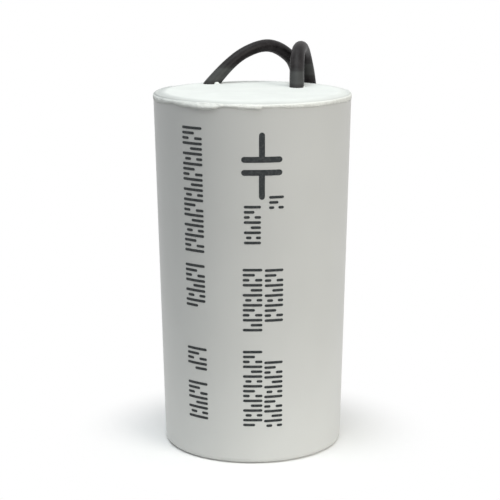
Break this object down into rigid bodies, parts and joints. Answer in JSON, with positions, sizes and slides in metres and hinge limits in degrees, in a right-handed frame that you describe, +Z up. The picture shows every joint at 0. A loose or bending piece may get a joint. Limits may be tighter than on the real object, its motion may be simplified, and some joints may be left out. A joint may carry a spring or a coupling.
{
  "type": "fan capacitor",
  "caption": "Round potted film capacitor for a fan motor, a tapered white moulded can filled with cast resin, with black lead wires leaving its top.",
  "frame": {"origin": "centre of the base, on the surface that the can stands on", "axes": "+Z up along the can to its resin-filled end, -Y to the printed front, leads pass over the rear rim towards +Y"},
  "size_m": [0.0301, 0.0554, 0.0614],
  "materials": {
    "can": "moulded white polypropylene, satin",
    "resin": "cast white resin, smooth with a soft sheen",
    "film": "wound metallised film",
    "wrap": "clear film wrap",
    "core": "extruded plastic tube",
    "zinc": "sprayed zinc, matt and granular",
    "solder": "bright solder",
    "insulation": "black PVC, semi-gloss",
    "conductor": "tinned stranded copper"
  },
  "bodies": {
    "root": {"can": "can", "potting_resin": "resin", "film_winding": "film", "winding_wrap": "wrap", "core_tube": "core", "top_end_spray": "zinc", "bottom_end_spray": "zinc", "top_solder_joint": "solder", "bottom_solder_joint": "solder", "left_potted_insulation": "insulation", "right_potted_insulation": "insulation", "left_conductor": "conductor", "right_conductor": "conductor", "left_lead": "insulation", "right_lead": "insulation", "left_tinned_tip": "conductor", "right_tinned_tip": "conductor"}
  },
  "joints": []
}
